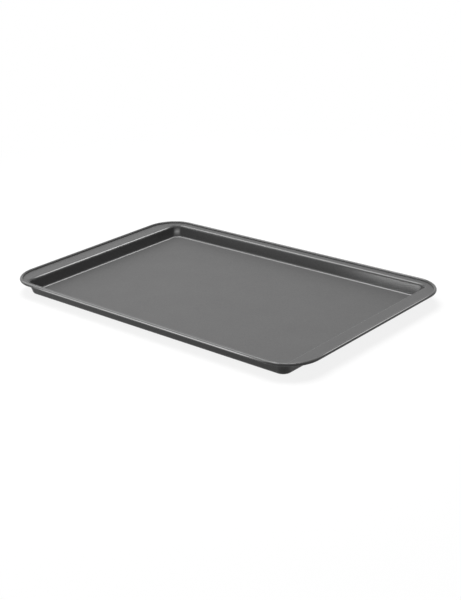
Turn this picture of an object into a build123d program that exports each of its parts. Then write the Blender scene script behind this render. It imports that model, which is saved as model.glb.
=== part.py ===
from build123d import *
from math import atan2, cos, degrees, radians, sqrt, tan
import os

# A non-stick cookie sheet: one pressed steel pan with wide end flanges and a rim rolled round a wire.
# Millimetres. The long side runs along X, the table is at zero height and the middle of the base is the origin.

# Overall size, over the rolled rim
pan_length = 432.0
pan_width = 280.0
rim_corner_radius = 38.0

# Pressed well, its corners and flanges taken where the line of the wall meets the flange's upper face
flange_height = 16.0
end_flange_width = 22.4
side_flange_width = 10.6
well_corner_radius = 8.0

# Walls of the well, which lean out on the way up, less at the ends than at the long sides
floor_corner_radius = 9.5
end_wall_lean = 8.0
side_wall_lean = 13.0

# Sheet metal and its bends, each radius on the face that looks up into the pan
sheet_thickness = 0.6
floor_bend_radius = 2.0
flange_bend_radius = 2.5

# Rolled rim and the wire inside it
wire_diameter = 2.2
wire_clearance = 0.1
wire_end_gap = 1.0
rim_rise = 2.6
rim_foot_radius = 0.6
rim_curl_turn = 315.0

# Radii of the rolled rim's two faces, and the line of the wire
curl_inner_radius = wire_diameter / 2 + wire_clearance
curl_outer_radius = curl_inner_radius + sheet_thickness
wire_height = flange_height + rim_rise - curl_outer_radius
wire_half_length = pan_length / 2 - curl_outer_radius
wire_half_width = pan_width / 2 - curl_outer_radius
wire_corner_radius = rim_corner_radius - curl_outer_radius

# The rim's foot is the small hollow bend where the flange turns up into the roll.
# Its centre lies above the flange, and both faces of the roll meet it on the line to the wire's centre.
foot_centre_rise = flange_height + rim_foot_radius - wire_height
foot_centre_reach = sqrt((curl_outer_radius + rim_foot_radius) ** 2 - foot_centre_rise**2)
foot_angle = degrees(atan2(foot_centre_rise, foot_centre_reach))
curl_start = 180.0 - foot_angle
curl_end = curl_start - rim_curl_turn

# The flat flange ends where the rim's foot begins
flange_length = 2 * (wire_half_length - foot_centre_reach)
flange_width = 2 * (wire_half_width - foot_centre_reach)
flange_corner_radius = wire_corner_radius - foot_centre_reach

# The well's inner face at the level of the flange's upper face, and how fast its walls draw in below that
well_length = pan_length - 2 * end_flange_width
well_width = pan_width - 2 * side_flange_width
well_depth = flange_height - sheet_thickness
end_slope = tan(radians(end_wall_lean))
side_slope = tan(radians(side_wall_lean))
corner_slope = (well_corner_radius - floor_corner_radius) / well_depth

# The sheet's thickness, measured level through each leaning wall
end_wall_offset = sheet_thickness / cos(radians(end_wall_lean))
side_wall_offset = sheet_thickness / cos(radians(side_wall_lean))
corner_offset = (end_wall_offset + side_wall_offset) / 2

os.makedirs("parts", exist_ok=True)


def half_rim_line(start):
    """Line of the wire's centre, from beside the middle of the back round one end to the middle of the front."""
    with BuildLine(Plane.XY.offset(wire_height), mode=Mode.PRIVATE) as line:
        FilletPolyline(
            (start, wire_half_width),
            (wire_half_length, wire_half_width),
            (wire_half_length, -wire_half_width),
            (0, -wire_half_width),
            radius=wire_corner_radius,
        )
    return line.wire()


def rim_section_plane(start):
    """Plane square to the start of that line, its origin on the wire's centre and its X axis pointing outwards."""
    return Plane(
        origin=(start, wire_half_width, wire_height), x_dir=(0, 1, 0), z_dir=(1, 0, 0)
    )


# Space inside the well, as the baker sees it
with BuildPart() as well_space:
    with BuildSketch(Plane.XY.offset(sheet_thickness)):
        RectangleRounded(
            well_length - 2 * well_depth * end_slope,
            well_width - 2 * well_depth * side_slope,
            floor_corner_radius,
        )
    with BuildSketch(Plane.XY.offset(flange_height)):
        RectangleRounded(well_length, well_width, well_corner_radius)
    loft(ruled=True)
    well_floor = well_space.faces().sort_by(Axis.Z)[0]
    fillet(well_floor.edges(), floor_bend_radius)


# Rolled rim: its section swept round half of the pan, then mirrored
with BuildPart() as rolled_rim:
    foot_centre = (-foot_centre_reach, foot_centre_rise)
    with BuildSketch(rim_section_plane(0)):
        with BuildLine():
            upper_foot = CenterArc(foot_centre, rim_foot_radius, -90, 90 - foot_angle)
            outer_curl = CenterArc((0, 0), curl_outer_radius, curl_start, -rim_curl_turn)
            inner_curl = CenterArc((0, 0), curl_inner_radius, curl_end, rim_curl_turn)
            lower_foot = CenterArc(
                foot_centre, rim_foot_radius + sheet_thickness, -foot_angle, foot_angle - 90
            )
            Line(outer_curl @ 1, inner_curl @ 0)
            Line(lower_foot @ 1, upper_foot @ 0)
        make_face()
    sweep(path=half_rim_line(0))
    mirror(about=Plane.YZ)


# Pan body: well, flange and rolled rim, all from one sheet
with BuildPart() as pan_body:
    # Outer face of the well, down to the base
    with BuildSketch():
        RectangleRounded(
            well_length + 2 * (end_wall_offset - flange_height * end_slope),
            well_width + 2 * (side_wall_offset - flange_height * side_slope),
            well_corner_radius + corner_offset - flange_height * corner_slope,
        )
    with BuildSketch(Plane.XY.offset(flange_height)):
        RectangleRounded(
            well_length + 2 * end_wall_offset,
            well_width + 2 * side_wall_offset,
            well_corner_radius + corner_offset,
        )
    loft(ruled=True)
    base = pan_body.faces().sort_by(Axis.Z)[0]
    fillet(base.edges(), floor_bend_radius + sheet_thickness)

    # Flat flange all round, and the bend under it
    with BuildSketch(Plane.XY.offset(flange_height)):
        RectangleRounded(flange_length, flange_width, flange_corner_radius)
    extrude(amount=-sheet_thickness)
    under_flange = pan_body.faces().filter_by(Axis.Z).sort_by(Axis.Z)[1]
    fillet(under_flange.inner_wires().edges(), flange_bend_radius - sheet_thickness)

    # Hollow of the well, and the bend at its lip
    add(well_space.part, mode=Mode.SUBTRACT)
    upper_flange = pan_body.faces().filter_by(Axis.Z).sort_by(Axis.Z)[-1]
    fillet(upper_flange.inner_wires().edges(), flange_bend_radius)

    add(rolled_rim.part)
pan_body.part.label = "pan_body"


# Rim wire: one length bent round the pan inside the roll, its ends almost meeting at the back
with BuildPart() as rim_wire:
    with BuildSketch(rim_section_plane(wire_end_gap / 2)):
        Circle(wire_diameter / 2)
    sweep(path=half_rim_line(wire_end_gap / 2))
    mirror(about=Plane.YZ)
rim_wire.part.label = "rim_wire"


export_step(pan_body.part, "parts/pan_body.step")
export_step(rim_wire.part, "parts/rim_wire.step")
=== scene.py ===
from math import atan2, cos, degrees, radians, sin, sqrt, tan

import bmesh
import bpy
from mathutils import Matrix, Vector


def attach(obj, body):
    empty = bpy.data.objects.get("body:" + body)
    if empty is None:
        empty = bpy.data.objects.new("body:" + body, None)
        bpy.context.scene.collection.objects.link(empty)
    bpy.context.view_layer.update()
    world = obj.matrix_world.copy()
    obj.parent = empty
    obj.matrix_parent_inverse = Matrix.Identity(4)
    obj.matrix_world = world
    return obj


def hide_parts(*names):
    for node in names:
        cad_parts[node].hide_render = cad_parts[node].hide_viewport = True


# A non-stick cookie sheet: one pressed steel pan, its rim rolled round a stiffening wire.
# Metres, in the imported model's frame: the long side along X, the table at zero height.
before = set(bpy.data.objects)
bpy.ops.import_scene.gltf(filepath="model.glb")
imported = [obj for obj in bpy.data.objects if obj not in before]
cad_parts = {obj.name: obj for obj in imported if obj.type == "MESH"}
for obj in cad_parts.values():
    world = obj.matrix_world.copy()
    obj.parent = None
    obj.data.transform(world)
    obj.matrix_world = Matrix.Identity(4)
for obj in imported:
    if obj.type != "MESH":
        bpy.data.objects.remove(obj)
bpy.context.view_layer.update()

MM = 0.001

# Overall size, over the rolled rim. The dressed pan is drawn a hair smaller, so it stays in the solid's box.
pan_length = 432.0 * MM
pan_width = 280.0 * MM
rim_corner_radius = 38.0 * MM
drawn_inside = 0.004 * MM

# Pressed well and its flanges, measured where the line of the wall meets the flange's upper face
flange_height = 16.0 * MM
end_flange_width = 22.4 * MM
side_flange_width = 10.6 * MM
well_corner_radius = 8.0 * MM
floor_corner_radius = 9.5 * MM
end_wall_lean = 8.0
side_wall_lean = 13.0

# Sheet metal and its bends, each radius on the face that looks up into the pan
sheet_thickness = 0.6 * MM
floor_bend_radius = 2.0 * MM
lip_bend_radius = 2.5 * MM

# Rolled rim: the small hollow bend at its foot, then the roll round the wire
roll_radius = 1.8 * MM
curl_radius = roll_radius - drawn_inside
rim_foot_radius = 0.6 * MM
rim_curl_turn = 315.0
rim_rise = 2.6 * MM
wire_height = flange_height + rim_rise - roll_radius
wire_half_length = pan_length / 2 - roll_radius
wire_half_width = pan_width / 2 - roll_radius
foot_rise = flange_height + rim_foot_radius - wire_height
foot_reach = sqrt((curl_radius + rim_foot_radius) ** 2 - foot_rise**2)
foot_angle = degrees(atan2(foot_rise, foot_reach))

# Steps round a corner of the pan, a bend of the sheet, the rim's foot and the roll
corner_steps = 48
bend_steps = 12
foot_steps = 8
roll_steps = 48

# Short flats that keep the flat faces flat beside each bend, and the distance at which points are one
flat = 0.5 * MM
near = 0.001 * MM

# Straight cuts across the mesh, at the middle and short of the corners, which break up its long faces
cut_along = 170.0 * MM
cut_across = 106.0 * MM

# Edges that turn by more than this are drawn sharp
sharp_turn = 40.0


# Sheet metal work in mesh form

def run(bm, vert, along):
    """Draws a straight edge on from a vertex and returns its far end."""
    made = bmesh.ops.extrude_vert_indiv(bm, verts=[vert])["verts"]
    bmesh.ops.translate(bm, vec=along, verts=made)
    return made[0]


def bend(bm, vert, centre, turn, steps):
    """Draws an arc on from a vertex, round an axis along X, and returns its far end."""
    made = bmesh.ops.spin(
        bm, geom=[vert], cent=centre, axis=(1, 0, 0), angle=radians(turn), steps=steps
    )
    return next(g for g in made["geom_last"] if isinstance(g, bmesh.types.BMVert))


def turn_corner(bm, profile, centre):
    """Sweeps a profile from the long side round the corner to the end, and returns its edges at both."""
    swept = bmesh.ops.spin(
        bm,
        geom=profile,
        cent=centre,
        axis=(0, 0, 1),
        angle=radians(-90),
        steps=corner_steps,
    )
    side = [g for g in profile if isinstance(g, bmesh.types.BMEdge)]
    end = [g for g in swept["geom_last"] if isinstance(g, bmesh.types.BMEdge)]
    return side, end


def draw_to_middle(bm, edges, keep):
    """Draws open edges straight out to a middle plane of the pan, across the axis that keep sets to 0."""
    made = bmesh.ops.extrude_edge_only(bm, edges=edges)["geom"]
    verts = [g for g in made if isinstance(g, bmesh.types.BMVert)]
    bmesh.ops.scale(bm, vec=keep, verts=verts)


def edges_at(bm, height):
    """Open edges at one height, leaving out those that lie in a middle plane."""
    found = []
    for edge in bm.edges:
        a, b = (v.co for v in edge.verts)
        level = abs(a.z - height) < near and abs(b.z - height) < near
        in_middle = max(abs(a.x), abs(b.x)) < near or max(abs(a.y), abs(b.y)) < near
        if edge.is_boundary and level and not in_middle:
            found.append(edge)
    return found


def pressed_well(bm):
    """One quarter of the well: floor bend, leaning wall and lip bend, swept round its corner."""
    corner = Vector((
        pan_length / 2 - end_flange_width - well_corner_radius,
        pan_width / 2 - side_flange_width - well_corner_radius,
        0,
    ))
    # The wall is swept with the lean that its corner's two radii give, and leans further after that
    slope = (well_corner_radius - floor_corner_radius) / (flange_height - sheet_thickness)
    swept_lean = atan2(slope, 1)
    turn = 90 - degrees(swept_lean)

    def wall_line(height):
        return corner.y + well_corner_radius - (flange_height - height) * slope

    floor_centre_height = sheet_thickness + floor_bend_radius
    floor_centre = wall_line(floor_centre_height) - floor_bend_radius / cos(swept_lean)
    lip_centre_height = flange_height - lip_bend_radius
    lip_centre = wall_line(lip_centre_height) + lip_bend_radius / cos(swept_lean)

    vert = bm.verts.new((corner.x, floor_centre - flat, sheet_thickness))
    vert = run(bm, vert, (0, flat, 0))
    vert = bend(bm, vert, (corner.x, floor_centre, floor_centre_height), turn, bend_steps)
    wall_top = lip_centre_height + lip_bend_radius * sin(swept_lean)
    wall_rise = wall_top - vert.co.z
    for rise in (flat, wall_rise - 2 * flat, flat):
        vert = run(bm, vert, (0, rise * slope, rise))
    vert = bend(bm, vert, (corner.x, lip_centre, lip_centre_height), -turn, bend_steps)
    run(bm, vert, (0, flat, 0))

    side, end = turn_corner(bm, bm.verts[:] + bm.edges[:], corner)

    # Everything below the lip moves inwards with depth, less along the pan than across it
    shear = Matrix.Identity(4)
    for axis, lean in enumerate((end_wall_lean, side_wall_lean)):
        shear[axis][2] = tan(radians(lean)) - slope
        shear[axis][3] = -shear[axis][2] * flange_height
    bmesh.ops.transform(bm, matrix=shear, verts=bm.verts[:])

    draw_to_middle(bm, side, (0, 1, 1))
    draw_to_middle(bm, end, (1, 0, 1))


def rolled_rim(bm):
    """One quarter of the rim: the hollow bend at its foot and the roll round the wire."""
    corner = Vector((pan_length / 2 - rim_corner_radius, pan_width / 2 - rim_corner_radius, 0))
    foot = (corner.x, wire_half_width - foot_reach, flange_height + rim_foot_radius)
    before = set(bm.verts) | set(bm.edges)

    vert = bm.verts.new((corner.x, foot[1] - flat, flange_height))
    vert = run(bm, vert, (0, flat, 0))
    vert = bend(bm, vert, foot, 90 - foot_angle, foot_steps)
    bend(bm, vert, (corner.x, wire_half_width, wire_height), -rim_curl_turn, roll_steps)

    profile = [g for g in bm.verts[:] + bm.edges[:] if g not in before]
    side, end = turn_corner(bm, profile, corner)
    draw_to_middle(bm, side, (0, 1, 1))
    draw_to_middle(bm, end, (1, 0, 1))


def pan_sheet():
    """The whole pan as one sheet with its real thickness."""
    bm = bmesh.new()
    pressed_well(bm)
    rolled_rim(bm)
    bmesh.ops.bridge_loops(bm, edges=edges_at(bm, flange_height))
    for axis in "XY":
        bmesh.ops.mirror(
            bm,
            geom=bm.verts[:] + bm.edges[:] + bm.faces[:],
            matrix=Matrix.Identity(4),
            merge_dist=near,
            axis=axis,
        )
    bmesh.ops.remove_doubles(bm, verts=bm.verts, dist=near)
    bmesh.ops.edgeloop_fill(bm, edges=edges_at(bm, sheet_thickness))
    for axis, cut in (((1, 0, 0), cut_along), ((0, 1, 0), cut_across)):
        for place in (-cut, 0, cut):
            bmesh.ops.bisect_plane(
                bm,
                geom=bm.verts[:] + bm.edges[:] + bm.faces[:],
                plane_co=[place * a for a in axis],
                plane_no=axis,
            )
    bmesh.ops.recalc_face_normals(bm, faces=bm.faces)
    floor_face = max(bm.faces, key=lambda face: face.calc_area())
    if floor_face.normal.z < 0:
        bmesh.ops.reverse_faces(bm, faces=bm.faces)
    bmesh.ops.solidify(bm, geom=bm.faces[:], thickness=sheet_thickness)
    return bm


def add_object(name, bm, material):
    """Turns a finished mesh into an object at the origin."""
    mesh = bpy.data.meshes.new(name)
    bm.to_mesh(mesh)
    bm.free()
    mesh.shade_smooth()
    mesh.set_sharp_from_angle(angle=radians(sharp_turn))
    mesh.materials.append(material)
    made = bpy.data.objects.new(name, mesh)
    bpy.context.scene.collection.objects.link(made)
    return made


# Finishes

# Heights between which the coat carries painted highlights or is smoother: start, full, full, end
floor_bend_band = (0.7 * MM, 0.95 * MM, 1.25 * MM, 1.75 * MM)
corner_band = (2.5 * MM, 7.5 * MM, 8.0 * MM, 13.0 * MM)
lip_band = (14.5 * MM, 14.95 * MM, 15.42 * MM, 15.62 * MM)
crest_band = (17.5 * MM, 18.4 * MM, 20.0 * MM, 21.0 * MM)
side_rim_highlight_band = (16.3 * MM, 16.6 * MM, 17.5 * MM, 17.7 * MM)
shoulder_band = (18.0 * MM, 18.2 * MM, 18.4 * MM, 18.5 * MM)
wall_band = (0.7 * MM, 1.2 * MM, 15.0 * MM, 15.4 * MM)
roll_band = (16.1 * MM, 16.4 * MM, 20.0 * MM, 21.0 * MM)

# Distances from the pan's middle up to which a painted highlight line is full, and at which it has faded out
side_lip_run = (180.0 * MM, 190.0 * MM)
end_lip_run = (106.0 * MM, 122.0 * MM)
side_rim_highlight_run = (140.0 * MM, 186.0 * MM)
shoulder_run = (85.0 * MM, 112.0 * MM)

# Distances from the pan's middle beyond which a painted highlight belongs to the end lip, the crest, the
# rim's long side or its shoulder
end_lip_start = 188.0 * MM
crest_start = wire_half_width - 1.6 * MM
side_rim_highlight_start = wire_half_width + 1.3 * MM
shoulder_start = wire_half_length + 0.4 * MM
# Strength of the painted highlight along the crest, as a share of the full one
crest_highlight_share = 0.5

# Direction towards a corner of the well, tipped so that the leaning corner is equally far along it at
# every height, and the distances along it at which the corner's painted highlight is full and has faded out
corner_direction = (1.0, 1.0, -0.43)
corner_run = (311.7 * MM, 309.5 * MM)

# Faces that look towards the pan's middle lie below 0 on this scale, and faces that look away above it
inward_run = (-20.0 * MM, 20.0 * MM)

# Roughness of the sprayed film from cloud to cloud, of the film on drawn metal, and of the painted metallic
# highlight lines on the rim
film_roughness = (0.53, 0.58)
drawn_roughness = 0.15
rim_highlight_roughness = 0.4


def linear(hex_colour):
    """Turns an sRGB hex colour into the linear colour that a shader takes."""
    parts = [int(hex_colour[i : i + 2], 16) / 255 for i in (1, 3, 5)]
    return [p / 12.92 if p <= 0.04045 else ((p + 0.055) / 1.055) ** 2.4 for p in parts] + [1.0]


def add_node(tree, kind, sockets=None, **settings):
    """Adds a node. Settings are its properties; sockets are inputs by name or number, each given
    a value or the output that it is linked to."""
    made = tree.nodes.new(kind)
    for name, value in settings.items():
        setattr(made, name, value)
    for key, value in (sockets or {}).items():
        if isinstance(value, bpy.types.NodeSocket):
            tree.links.new(value, made.inputs[key])
        else:
            made.inputs[key].default_value = value
    return made


def new_material(name):
    material = bpy.data.materials.new(name)
    material.use_nodes = True
    material.node_tree.nodes.clear()
    return material, material.node_tree


def product(tree, *masks):
    """Where all the masks meet."""
    result = masks[0]
    for mask in masks[1:]:
        result = add_node(
            tree, "ShaderNodeMath", {0: result, 1: mask}, operation="MULTIPLY"
        ).outputs[0]
    return result


def either(tree, *masks):
    """Wherever one of the masks is."""
    result = masks[0]
    for mask in masks[1:]:
        result = add_node(
            tree, "ShaderNodeMath", {0: result, 1: mask}, operation="MAXIMUM"
        ).outputs[0]
    return result


def level_band(tree, height, low, full, back, end):
    """1 between two levels of the pan and 0 away from them, with a soft step at each edge."""
    up = add_node(tree, "ShaderNodeMapRange", {"Value": height, "From Min": low, "From Max": full})
    down = add_node(
        tree,
        "ShaderNodeMapRange",
        {"Value": height, "From Min": back, "From Max": end, "To Min": 1.0, "To Max": 0.0},
    )
    return product(tree, up.outputs[0], down.outputs[0])


def fading(tree, distance, full, end):
    """Fades softly from 1 at one distance to 0 at another."""
    fade = add_node(
        tree,
        "ShaderNodeMapRange",
        {"Value": distance, "From Min": full, "From Max": end, "To Min": 1.0, "To Max": 0.0},
        interpolation_type="SMOOTHSTEP",
    )
    return fade.outputs[0]


def outside(tree, distance, start):
    """1 further out than a start and 0 inside it."""
    step = add_node(
        tree,
        "ShaderNodeMapRange",
        {"Value": distance, "From Min": start - 0.1 * MM, "From Max": start + 0.1 * MM},
    )
    return step.outputs[0]


def non_stick_coating():
    """Grey non-stick coating, sprayed on steel and baked: a satin film with fine metal flakes in it.
    It shows the room softly, more so at a low angle, and has a fine grain with a faint orange peel.
    Paler painted highlights lie along its bends, the crest of the long sides and the well's inner corners,
    and pale metallic painted highlight lines lie along the outer rim."""
    material, tree = new_material("Non-stick coating sprayed and baked on steel")
    coordinates = add_node(tree, "ShaderNodeTexCoord").outputs
    place = coordinates["Object"]

    # Metal flakes are about 0.05 mm across; they are drawn at about 0.5 mm so that they show as grain
    flakes = add_node(
        tree, "ShaderNodeTexVoronoi", {"Vector": place, "Scale": 1 / (0.55 * MM)}, feature="F1"
    )
    flake = add_node(tree, "ShaderNodeSeparateColor", {0: flakes.outputs["Color"]})
    # Spray leaves soft patches of more and less flake, a millimetre or two across
    mottle = add_node(
        tree,
        "ShaderNodeTexNoise",
        {"Vector": place, "Scale": 1 / (1.6 * MM), "Detail": 2.0, "Roughness": 0.6},
    )
    cloud = add_node(
        tree, "ShaderNodeTexNoise", {"Vector": place, "Scale": 1 / (45 * MM), "Detail": 2.0}
    )
    grain = add_node(
        tree,
        "ShaderNodeMapRange",
        {"Value": flake.outputs[0], "From Min": 0.0, "From Max": 1.0, "To Min": 0.38, "To Max": 0.62},
    )
    grain = add_node(
        tree,
        "ShaderNodeMix",
        {"Factor": 0.45, 2: grain.outputs[0], 3: mottle.outputs[0]},
        data_type="FLOAT",
    )
    colour = add_node(
        tree,
        "ShaderNodeMix",
        {
            "Factor": add_node(
                tree,
                "ShaderNodeMapRange",
                {"Value": grain.outputs[0], "From Min": 0.3, "From Max": 0.7},
            ).outputs[0],
            6: linear("#505050"),
            7: linear("#5e5e5e"),
        },
        data_type="RGBA",
    )
    # The painted highlights are alike in the pan's four quarters, so places are measured in one of them
    quarter = add_node(tree, "ShaderNodeVectorMath", {0: place}, operation="ABSOLUTE").outputs[0]
    measures = add_node(tree, "ShaderNodeSeparateXYZ", {0: quarter}).outputs
    along, across = measures["X"], measures["Y"]
    height = add_node(tree, "ShaderNodeSeparateXYZ", {0: place}).outputs["Z"]
    to_corner = add_node(
        tree, "ShaderNodeVectorMath", {0: quarter, 1: corner_direction}, operation="DOT_PRODUCT"
    ).outputs["Value"]
    facing_out = add_node(
        tree,
        "ShaderNodeVectorMath",
        {0: place, 1: coordinates["Normal"]},
        operation="DOT_PRODUCT",
    ).outputs["Value"]

    # Painted highlights: the coat is painted paler along each bend, along the lip on its straight parts
    # only, and at part strength along the crest of the long sides
    end_lip = product(
        tree, outside(tree, along, end_lip_start), fading(tree, across, *end_lip_run)
    )
    bend_and_crest_highlights = either(
        tree,
        level_band(tree, height, *floor_bend_band),
        product(
            tree,
            level_band(tree, height, *lip_band),
            either(tree, end_lip, fading(tree, along, *side_lip_run)),
        ),
        product(
            tree,
            level_band(tree, height, *crest_band),
            outside(tree, across, crest_start),
            crest_highlight_share,
        ),
    )
    # A painted highlight halfway up the inner corners of the well, on their inward faces
    corner = product(
        tree,
        level_band(tree, height, *corner_band),
        fading(tree, to_corner, *corner_run),
        fading(tree, facing_out, *inward_run),
    )
    # The painted highlights in those corners and on the bends of the wide end flanges are paler still
    bright = add_node(
        tree,
        "ShaderNodeMix",
        {"Factor": either(tree, end_lip, corner), 6: linear("#9c9c9c"), 7: linear("#cccccc")},
        data_type="RGBA",
    )
    colour = add_node(
        tree,
        "ShaderNodeMix",
        {"Factor": either(tree, bend_and_crest_highlights, corner), 6: colour.outputs[2], 7: bright.outputs[2]},
        data_type="RGBA",
    )
    # Painted highlight lines on the rim, pale and metallic: at the long sides along its outermost line,
    # and at the ends along its outer shoulder
    side_rim_highlight_line = product(
        tree,
        level_band(tree, height, *side_rim_highlight_band),
        outside(tree, across, side_rim_highlight_start),
        fading(tree, along, *side_rim_highlight_run),
    )
    shoulder_line = product(
        tree,
        level_band(tree, height, *shoulder_band),
        outside(tree, along, shoulder_start),
        fading(tree, across, *shoulder_run),
    )
    rim_highlight_lines = either(tree, side_rim_highlight_line, shoulder_line)
    colour = add_node(
        tree,
        "ShaderNodeMix",
        {"Factor": rim_highlight_lines, 6: colour.outputs[2], 7: linear("#acacac")},
        data_type="RGBA",
    )
    # The floor and the flanges keep the spray's soft texture, and the drawn walls and bends are smoother
    drawn = either(
        tree, level_band(tree, height, *wall_band), level_band(tree, height, *roll_band)
    )
    rough = add_node(
        tree,
        "ShaderNodeMapRange",
        {
            "Value": cloud.outputs[0],
            "From Min": 0.3,
            "From Max": 0.7,
            "To Min": film_roughness[0],
            "To Max": film_roughness[1],
        },
    )
    rough = add_node(
        tree,
        "ShaderNodeMix",
        {"Factor": drawn, 2: rough.outputs[0], 3: drawn_roughness},
        data_type="FLOAT",
    )
    rough = add_node(
        tree,
        "ShaderNodeMix",
        {"Factor": rim_highlight_lines, 2: rough.outputs[0], 3: rim_highlight_roughness},
        data_type="FLOAT",
    )
    # Orange peel of the sprayed film, a few thousandths of a millimetre deep
    peel = add_node(
        tree,
        "ShaderNodeBump",
        {"Height": mottle.outputs[0], "Strength": 1.0, "Distance": 0.012 * MM},
    )
    shader = add_node(
        tree,
        "ShaderNodeBsdfPrincipled",
        {
            "Base Color": colour.outputs[2],
            "Metallic": rim_highlight_lines,
            "Roughness": rough.outputs[0],
            "IOR": 1.35,
            "Normal": peel.outputs[0],
        },
    )
    add_node(tree, "ShaderNodeOutputMaterial", {"Surface": shader.outputs[0]})
    return material


def drawn_steel_wire():
    """Plain low-carbon steel wire as it leaves the drawing die: bright grey, with a fine mottle of paler
    and smoother marks."""
    material, tree = new_material("Plain drawn steel wire")
    place = add_node(tree, "ShaderNodeTexCoord").outputs["Object"]
    marks = add_node(
        tree,
        "ShaderNodeTexNoise",
        {"Vector": place, "Scale": 1 / (0.4 * MM), "Detail": 3.0},
    )
    colour = add_node(
        tree,
        "ShaderNodeMix",
        {"Factor": marks.outputs[0], 6: linear("#9a9a9b"), 7: linear("#cfcfd0")},
        data_type="RGBA",
    )
    rough = add_node(
        tree,
        "ShaderNodeMapRange",
        {"Value": marks.outputs[0], "To Min": 0.25, "To Max": 0.45},
    )
    shader = add_node(
        tree,
        "ShaderNodeBsdfPrincipled",
        {"Base Color": colour.outputs[2], "Metallic": 1.0, "Roughness": rough.outputs[0]},
    )
    add_node(tree, "ShaderNodeOutputMaterial", {"Surface": shader.outputs[0]})
    return material


# Studio

# Camera: degrees round the pan, above the table and of tilt, then its distance and its sideways
# and downward shift from the pan's middle, and its lens in millimetres on a 36 mm wide picture
camera_azimuth = 41.72
camera_elevation = 21.76
camera_roll = -2.23
camera_distance = 1333.4 * MM
camera_right = 9.1 * MM
camera_drop = 4.84 * MM
camera_lens = 69.29

# Floor: its radius, the glow that keeps the pan's shadow light, and the distances from the pan's
# middle between which it turns from shadowed to plain white
floor_radius = 8.0
floor_glow = 0.86
floor_fade = (0.35, 0.8)

# Level of the room's even fill on the object
room_fill = 0.09


def seen_white(tree):
    """1 for a ray that shows the background, straight or in a reflection, and 0 for light on the object."""
    path = add_node(tree, "ShaderNodeLightPath").outputs
    glossy = add_node(
        tree,
        "ShaderNodeMath",
        {0: path["Is Camera Ray"], 1: path["Is Glossy Ray"]},
        operation="ADD",
    )
    return add_node(
        tree,
        "ShaderNodeMath",
        {0: glossy.outputs[0], 1: path["Is Transmission Ray"]},
        operation="ADD",
        use_clamp=True,
    ).outputs[0]


def studio_floor():
    """Matt white studio floor. It is white where it is seen, and it keeps the pan's soft shadow."""
    material, tree = new_material("Matt white studio floor")
    seen = seen_white(tree)
    matt = add_node(tree, "ShaderNodeBsdfDiffuse", {"Color": linear("#7c7c7c")})
    pale = add_node(tree, "ShaderNodeBsdfDiffuse", {"Color": linear("#707070")})
    glow = add_node(tree, "ShaderNodeEmission", {"Color": linear("#ffffff"), "Strength": floor_glow})
    near_pan = add_node(tree, "ShaderNodeAddShader", {0: pale.outputs[0], 1: glow.outputs[0]})
    white = add_node(tree, "ShaderNodeEmission", {"Color": linear("#ffffff"), "Strength": 1.0})
    place = add_node(tree, "ShaderNodeTexCoord").outputs["Object"]
    away = add_node(tree, "ShaderNodeVectorMath", {0: place}, operation="LENGTH").outputs["Value"]
    fade = add_node(
        tree,
        "ShaderNodeMapRange",
        {"Value": away, "From Min": floor_fade[0], "From Max": floor_fade[1]},
        interpolation_type="SMOOTHSTEP",
    )
    shown = add_node(
        tree, "ShaderNodeMixShader", {0: fade.outputs[0], 1: near_pan.outputs[0], 2: white.outputs[0]}
    )
    both = add_node(tree, "ShaderNodeMixShader", {0: seen, 1: matt.outputs[0], 2: shown.outputs[0]})
    add_node(tree, "ShaderNodeOutputMaterial", {"Surface": both.outputs[0]})

    bm = bmesh.new()
    bmesh.ops.create_circle(bm, cap_ends=True, radius=floor_radius, segments=96)
    bmesh.ops.translate(bm, vec=(0, 0, -0.1 * MM), verts=bm.verts)
    add_object("studio_floor", bm, material)


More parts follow.
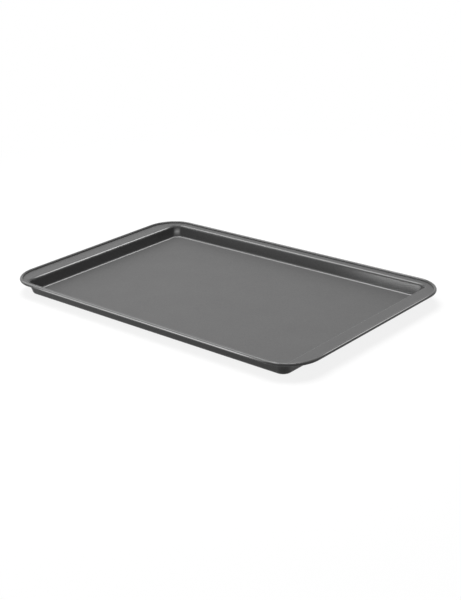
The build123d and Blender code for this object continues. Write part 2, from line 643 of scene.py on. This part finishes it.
def studio_room():
    """White room: seen white, and a soft even fill on the object."""
    world = bpy.data.worlds.new("studio_room")
    world.use_nodes = True
    tree = world.node_tree
    tree.nodes.clear()
    level = add_node(
        tree,
        "ShaderNodeMix",
        {"Factor": seen_white(tree), 2: room_fill, 3: 1.0},
        data_type="FLOAT",
    )
    back = add_node(
        tree, "ShaderNodeBackground", {"Color": linear("#ffffff"), "Strength": level.outputs[0]}
    )
    add_node(tree, "ShaderNodeOutputWorld", {"Surface": back.outputs[0]})
    bpy.context.scene.world = world


def direction(azimuth, elevation):
    """Direction from the pan. Azimuth 0 is in front of it, and 90 at its right end."""
    a, e = radians(azimuth), radians(elevation)
    return Vector((sin(a) * cos(e), -cos(a) * cos(e), sin(e)))


def softbox(name, azimuth, elevation, distance, width, height, radiance):
    """Rectangular softbox that faces the pan."""
    back = direction(azimuth, elevation)
    lamp = bpy.data.lights.new(name, "AREA")
    lamp.shape = "RECTANGLE"
    lamp.size = width
    lamp.size_y = height
    # A rectangular lamp needs four watts per square metre for each unit of radiance
    lamp.energy = radiance * 4 * width * height
    made = bpy.data.objects.new(name, lamp)
    made.location = back * distance
    made.rotation_mode = "QUATERNION"
    made.rotation_quaternion = (-back).to_track_quat("-Z", "Y")
    bpy.context.scene.collection.objects.link(made)


def studio_camera():
    """Camera at the photograph's angle, found from the pan's outline and its bend lines."""
    back = direction(camera_azimuth, camera_elevation)
    level = direction(camera_azimuth + 90, 0)
    upright = back.cross(level)
    roll = radians(camera_roll)
    right = cos(roll) * level + sin(roll) * upright
    up = back.cross(right)
    data = bpy.data.cameras.new("camera")
    data.sensor_width = 36.0
    data.lens = camera_lens
    made = bpy.data.objects.new("camera", data)
    made.matrix_world = Matrix((right, up, back)).transposed().to_4x4()
    made.location = back * camera_distance + right * camera_right - up * camera_drop
    bpy.context.scene.collection.objects.link(made)
    bpy.context.scene.camera = made


studio_camera()
studio_floor()
studio_room()

# Each softbox: azimuth and elevation in degrees, distance, width and height in metres, and radiance
softbox("softbox_overhead", -118, 76, 1.6, 1.1, 1.1, 6.0)
softbox("softbox_front_left", -27, 2.7, 1.5, 0.22, 0.12, 16.0)
softbox("softbox_left", -60, 40, 1.6, 0.8, 0.6, 2.2)

pan_shell = add_object("pan_shell", pan_sheet(), non_stick_coating())
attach(pan_shell, "root")
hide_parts("pan_body")

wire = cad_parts["rim_wire"]
wire.data.materials.clear()
wire.data.materials.append(drawn_steel_wire())

scene = bpy.context.scene
scene.view_settings.view_transform = "Standard"
